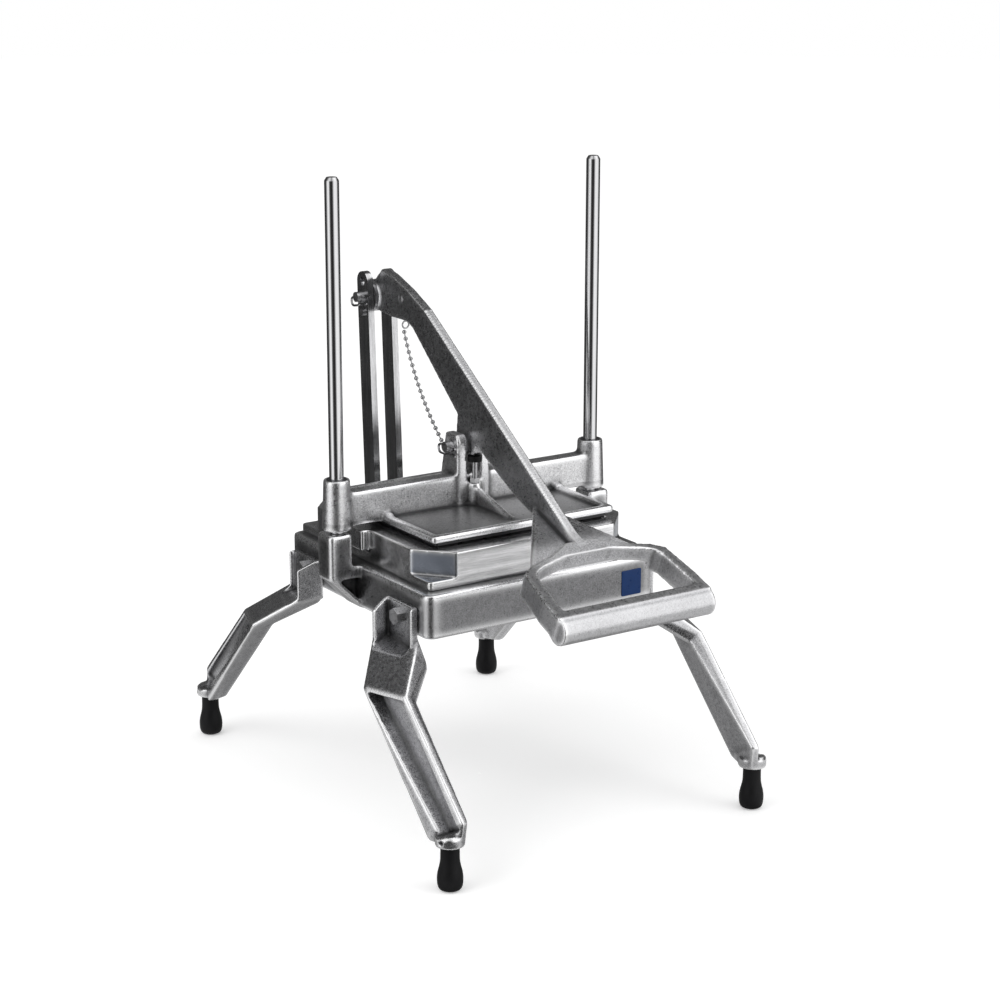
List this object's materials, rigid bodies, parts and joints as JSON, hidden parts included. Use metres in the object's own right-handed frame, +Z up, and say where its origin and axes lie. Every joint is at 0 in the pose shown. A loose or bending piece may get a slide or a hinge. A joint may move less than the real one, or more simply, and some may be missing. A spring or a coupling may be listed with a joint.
{
  "type": "vegetable slicer",
  "caption": "Free-standing lever slicer: a finger block on two guide rods is pressed down through a square blade grid held in a cast frame on four legs.",
  "frame": {"origin": "on the table, under the middle of the object's overall box, with the pusher down", "axes": "+X along the pusher's crossbar, to the right as seen by a person at the handle; the handle is at -Y and the link bars at +Y; +Z up along the guide rods"},
  "size_m": [0.345, 0.491, 0.561],
  "materials": {
    "cast_aluminium": "sand-cast and tumbled, satin",
    "machined_aluminium": "brushed",
    "polished_rod": "ground and polished",
    "blade_steel": "ground stainless strip",
    "fasteners": "plain turned and rolled steel",
    "dark_steel": "dark, slightly worn",
    "bushing": "dark self-lubricating bush",
    "black_plastic": "satin, moulded",
    "black_rubber": "matte moulded",
    "blue_label": "plain adhesive label"
  },
  "bodies": {
    "frame": {"base_frame": "cast_aluminium", "blade_frame": "machined_aluminium", "lower_blades": "blade_steel", "upper_blades": "blade_steel", "blade_frame_screws": "fasteners", "leg_front_left": "cast_aluminium", "leg_front_right": "cast_aluminium", "leg_back_left": "cast_aluminium", "leg_back_right": "cast_aluminium", "foot_front_left": "black_rubber", "foot_front_right": "black_rubber", "foot_back_left": "black_rubber", "foot_back_right": "black_rubber", "foot_studs": "fasteners", "foot_lock_screws": "dark_steel", "leg_bolts": "fasteners", "leg_washers": "fasteners", "leg_nuts": "fasteners", "guide_rod_left": "polished_rod", "guide_rod_right": "polished_rod", "rod_set_screws": "dark_steel", "blank_label": "blue_label", "link_bracket": "cast_aluminium", "bracket_screws": "fasteners", "link_foot_bolt": "fasteners", "link_foot_nut": "fasteners"},
    "pusher": {"pusher_head": "cast_aluminium", "guide_bushings": "bushing", "finger_block": "black_plastic", "finger_block_screws": "fasteners", "bumper": "black_rubber", "bumper_screw": "fasteners", "bumper_nut": "fasteners"},
    "lever": {"lever_handle": "cast_aluminium", "lever_head_bush": "bushing", "lever_head_washers": "fasteners", "lever_pivot_pin": "fasteners", "lower_clip": "fasteners", "tether_chain": "fasteners", "chain_eye": "fasteners"},
    "link": {"link_bar_left": "fasteners", "link_bar_right": "fasteners", "link_head_pins": "fasteners", "link_spacer_screws": "fasteners", "upper_clip": "fasteners"}
  },
  "joints": [
    {"name": "pusher_slide", "type": "slide", "parent": "frame", "child": "pusher", "axis": [0, 0, 1], "range_m": [0, 0.2]},
    {"name": "lever_swing", "type": "hinge", "parent": "pusher", "child": "lever", "pos_m": [0, 0.0211, 0.311], "axis": [1, 0, 0], "range_deg": [-64, 0]},
    {"name": "link_swing", "type": "hinge", "parent": "frame", "child": "link", "pos_m": [0, 0.1657, 0.2], "axis": [1, 0, 0], "range_deg": [-3.7, 0]}
  ],
  "couplings": [
    {"joint": "lever_swing", "follows": "pusher_slide", "rad_per_m": -5.5426},
    {"joint": "link_swing", "follows": "pusher_slide", "rad_per_m": -0.318}
  ]
}
